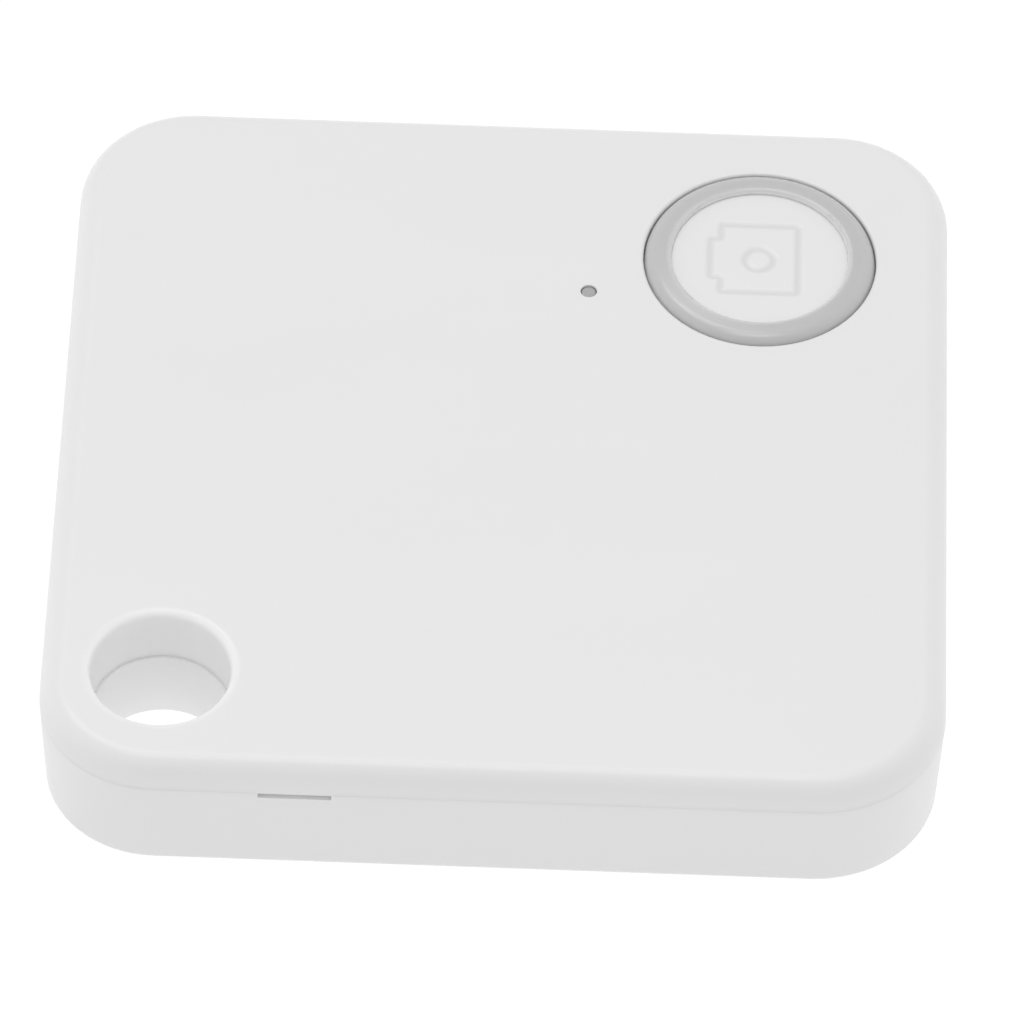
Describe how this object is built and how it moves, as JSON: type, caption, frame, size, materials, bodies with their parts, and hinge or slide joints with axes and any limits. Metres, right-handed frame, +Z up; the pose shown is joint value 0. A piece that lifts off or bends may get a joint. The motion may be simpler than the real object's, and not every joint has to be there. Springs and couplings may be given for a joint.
{
  "type": "bluetooth tracker tag",
  "caption": "Flat square white tracker tag with a round push button, a status light, a keyring hole in one corner and a coin cell under its lift-off cover.",
  "frame": {"origin": "middle of the underside, on the surface the tag lies on", "axes": "+Z up through the tag's thickness, +X to the right with the keyring hole at the near left corner, +Y away from the user"},
  "size_m": [0.037, 0.037, 0.0062],
  "materials": {
    "white_abs": "satin",
    "grey_ring": "satin",
    "light_pipe": "gloss",
    "board": "satin",
    "gold_plate": "satin",
    "contact_spring": "satin",
    "cell_steel": "satin",
    "cell_gasket": "satin",
    "lithium": "satin",
    "separator_paper": "matte",
    "cathode_pellet": "matte",
    "black_plastic": "matte",
    "plate_steel": "satin",
    "tinned": "satin",
    "switch_button": "satin",
    "buzzer_laminate": "satin",
    "magnet_iron": "satin",
    "coil_copper": "satin",
    "chip_epoxy": "matte",
    "chip_ceramic": "matte",
    "crystal_lid": "satin",
    "ferrite": "matte",
    "capacitor_ceramic": "satin",
    "resistor_ceramic": "satin",
    "led_white": "satin",
    "led_resin": "gloss"
  },
  "bodies": {
    "base": {"bottom_shell": "white_abs", "circuit_board": "board", "antenna_trace": "gold_plate", "negative_contact": "contact_spring", "positive_contact_left": "contact_spring", "positive_contact_far": "contact_spring", "switch_base": "black_plastic", "switch_dome": "plate_steel", "switch_cover_plate": "plate_steel", "switch_terminals": "tinned", "buzzer_base": "buzzer_laminate", "buzzer_case": "black_plastic", "buzzer_terminals": "tinned", "buzzer_core": "magnet_iron", "buzzer_coil": "coil_copper", "buzzer_magnet": "magnet_iron", "buzzer_diaphragm": "plate_steel", "bluetooth_chip": "chip_epoxy", "chip_terminals": "tinned", "main_crystal_base": "chip_ceramic", "main_crystal_lid": "crystal_lid", "clock_crystal_base": "chip_ceramic", "clock_crystal_lid": "crystal_lid", "inductor_body": "ferrite", "inductor_ends": "tinned", "bulk_capacitor": "capacitor_ceramic", "bulk_capacitor_ends": "tinned", "capacitors": "capacitor_ceramic", "capacitor_ends": "tinned", "resistors": "resistor_ceramic", "resistor_ends": "tinned", "driver_transistor": "chip_epoxy", "transistor_leads": "tinned", "flyback_diode": "chip_epoxy", "diode_leads": "tinned", "led_base": "led_white", "led_lens": "led_resin"},
    "cover": {"top_shell": "white_abs", "led_light_pipe": "light_pipe"},
    "button": {"button_ring": "grey_ring", "button_disc": "white_abs"},
    "switch_plunger": {"switch_plunger": "switch_button"},
    "battery": {"battery_can": "cell_steel", "battery_gasket": "cell_gasket", "battery_cap": "cell_steel", "battery_anode": "lithium", "battery_separator": "separator_paper", "battery_cathode": "cathode_pellet"}
  },
  "joints": [
    {"name": "cover_lift", "type": "slide", "parent": "base", "child": "cover", "axis": [0, 0, 1], "range_m": [0, 0.02]},
    {"name": "button_press", "type": "slide", "parent": "cover", "child": "button", "axis": [0, 0, -1], "range_m": [0, 0.00025], "stiffness_N_per_m": 5000, "springref_m": -0.00002},
    {"name": "plunger_press", "type": "slide", "parent": "base", "child": "switch_plunger", "axis": [0, 0, -1], "range_m": [0, 0.00025], "deforming": ["switch_dome"]},
    {"name": "battery_lift", "type": "slide", "parent": "base", "child": "battery", "axis": [0, 0, 1], "range_m": [0, 0.009]}
  ],
  "couplings": [
    {"joint": "plunger_press", "follows": "button_press", "ratio": 1},
    {"joint": "battery_lift", "follows": "cover_lift", "ratio": 0.45}
  ]
}
